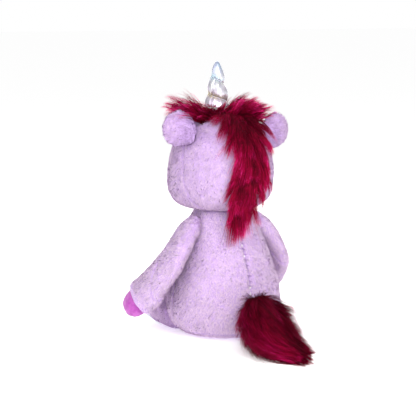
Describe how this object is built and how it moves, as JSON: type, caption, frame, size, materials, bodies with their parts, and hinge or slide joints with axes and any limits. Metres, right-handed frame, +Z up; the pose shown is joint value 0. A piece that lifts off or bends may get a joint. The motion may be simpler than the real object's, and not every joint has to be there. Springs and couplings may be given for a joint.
{
  "type": "plush unicorn",
  "caption": "Seated stuffed toy unicorn with a soft horn, round ears, long-pile mane and tail, and sewn-on limbs that bend at their seams.",
  "frame": {"origin": "middle of the flat face of the seat panel that the toy rests on", "axes": "+Z up along the body, -Y is the way the face looks, +X is the toy's left"},
  "size_m": [0.237, 0.302, 0.3385],
  "materials": {
    "lavender_plush": "short pile plush",
    "orchid_plush": "smooth brushed cloth",
    "crimson_fur": "long pile fur",
    "iridescent_cloth": "shiny foil faced cloth",
    "lining_cloth": "short pile plush",
    "stuffing": "polyester fibre",
    "pouch_cloth": "woven cloth",
    "thread": "sewing thread",
    "embroidery": "satin stitch",
    "eye_plastic": "polished",
    "washer_plastic": "moulded"
  },
  "bodies": {
    "torso": {"torso_back_left": "lavender_plush", "torso_back_right": "lavender_plush", "torso_tummy": "lavender_plush", "seat_panel": "lavender_plush", "torso_stuffing": "stuffing", "pellet_pouch": "pouch_cloth", "closing_thread": "thread"},
    "neck": {"neck_wad": "stuffing"},
    "head": {"head_back_left": "lavender_plush", "head_back_right": "lavender_plush", "face_left": "lavender_plush", "face_right": "lavender_plush", "muzzle_panel": "lining_cloth", "head_stuffing": "stuffing", "eye_left": "eye_plastic", "eye_right": "eye_plastic", "eye_washer_left": "washer_plastic", "eye_washer_right": "washer_plastic", "nostril_left": "embroidery", "nostril_right": "embroidery", "mouth_stitch": "embroidery", "forelock": "crimson_fur", "mane": "crimson_fur"},
    "horn": {"horn_cover": "iridescent_cloth", "horn_stuffing": "stuffing", "horn_thread": "thread"},
    "tail_root": {"tail_tab": "thread"},
    "tail": {"tail_fur": "crimson_fur", "tail_core": "stuffing"},
    "ear_left": {"ear_left_back": "lavender_plush", "ear_left_lining": "lining_cloth", "ear_left_wadding": "stuffing"},
    "arm_left": {"arm_left_sleeve": "lavender_plush", "arm_left_stuffing": "stuffing", "arm_left_hoof": "orchid_plush", "arm_left_hoof_stuffing": "stuffing"},
    "leg_left": {"leg_left_cover": "lavender_plush", "leg_left_stuffing": "stuffing", "leg_left_hoof": "iridescent_cloth", "leg_left_hoof_stuffing": "stuffing"},
    "ear_right": {"ear_right_back": "lavender_plush", "ear_right_lining": "lining_cloth", "ear_right_wadding": "stuffing"},
    "arm_right": {"arm_right_sleeve": "lavender_plush", "arm_right_stuffing": "stuffing", "arm_right_hoof": "orchid_plush", "arm_right_hoof_stuffing": "stuffing"},
    "leg_right": {"leg_right_cover": "lavender_plush", "leg_right_stuffing": "stuffing", "leg_right_hoof": "iridescent_cloth", "leg_right_hoof_stuffing": "stuffing"}
  },
  "joints": [
    {"name": "neck_turn", "type": "hinge", "parent": "torso", "child": "neck", "pos_m": [0, -0.003, 0.15], "axis": [0, 0, 1], "range_deg": [-25, 25], "stiffness_Nm_per_rad": 0.4},
    {"name": "neck_nod", "type": "hinge", "parent": "neck", "child": "head", "pos_m": [0, -0.003, 0.15], "axis": [1, 0, 0], "range_deg": [-8, 12], "stiffness_Nm_per_rad": 0.9},
    {"name": "arm_left_swing", "type": "hinge", "parent": "torso", "child": "arm_left", "pos_m": [0.046, 0.003, 0.138], "axis": [1, 0, 0], "range_deg": [-70, 20], "stiffness_Nm_per_rad": 0.2},
    {"name": "leg_left_lift", "type": "hinge", "parent": "torso", "child": "leg_left", "pos_m": [0.049, -0.032, 0.0235], "axis": [1, 0, 0], "range_deg": [-40, 4], "stiffness_Nm_per_rad": 0.3},
    {"name": "ear_left_bend", "type": "hinge", "parent": "head", "child": "ear_left", "pos_m": [0.041, 0.015, 0.257], "axis": [0.0872, 0, -0.9962], "range_deg": [-20, 20], "stiffness_Nm_per_rad": 0.03},
    {"name": "arm_right_swing", "type": "hinge", "parent": "torso", "child": "arm_right", "pos_m": [-0.046, 0.002, 0.138], "axis": [1, 0, 0], "range_deg": [-70, 20], "stiffness_Nm_per_rad": 0.2},
    {"name": "leg_right_lift", "type": "hinge", "parent": "torso", "child": "leg_right", "pos_m": [-0.049, -0.032, 0.0235], "axis": [1, 0, 0], "range_deg": [-40, 4], "stiffness_Nm_per_rad": 0.3},
    {"name": "ear_right_bend", "type": "hinge", "parent": "head", "child": "ear_right", "pos_m": [-0.041, 0.013, 0.25], "axis": [0.0872, 0, 0.9962], "range_deg": [-20, 20], "stiffness_Nm_per_rad": 0.03},
    {"name": "horn_tilt", "type": "hinge", "parent": "head", "child": "horn", "pos_m": [0.001, -0.015, 0.2825], "axis": [1, 0, 0], "range_deg": [-8, 8], "stiffness_Nm_per_rad": 0.06},
    {"name": "tail_wag", "type": "hinge", "parent": "torso", "child": "tail_root", "pos_m": [0, 0.081, 0.046], "axis": [0, 0, 1], "range_deg": [-30, 30], "stiffness_Nm_per_rad": 0.04},
    {"name": "tail_lift", "type": "hinge", "parent": "tail_root", "child": "tail", "pos_m": [0, 0.081, 0.046], "axis": [1, 0, 0], "range_deg": [0, 40]}
  ]
}
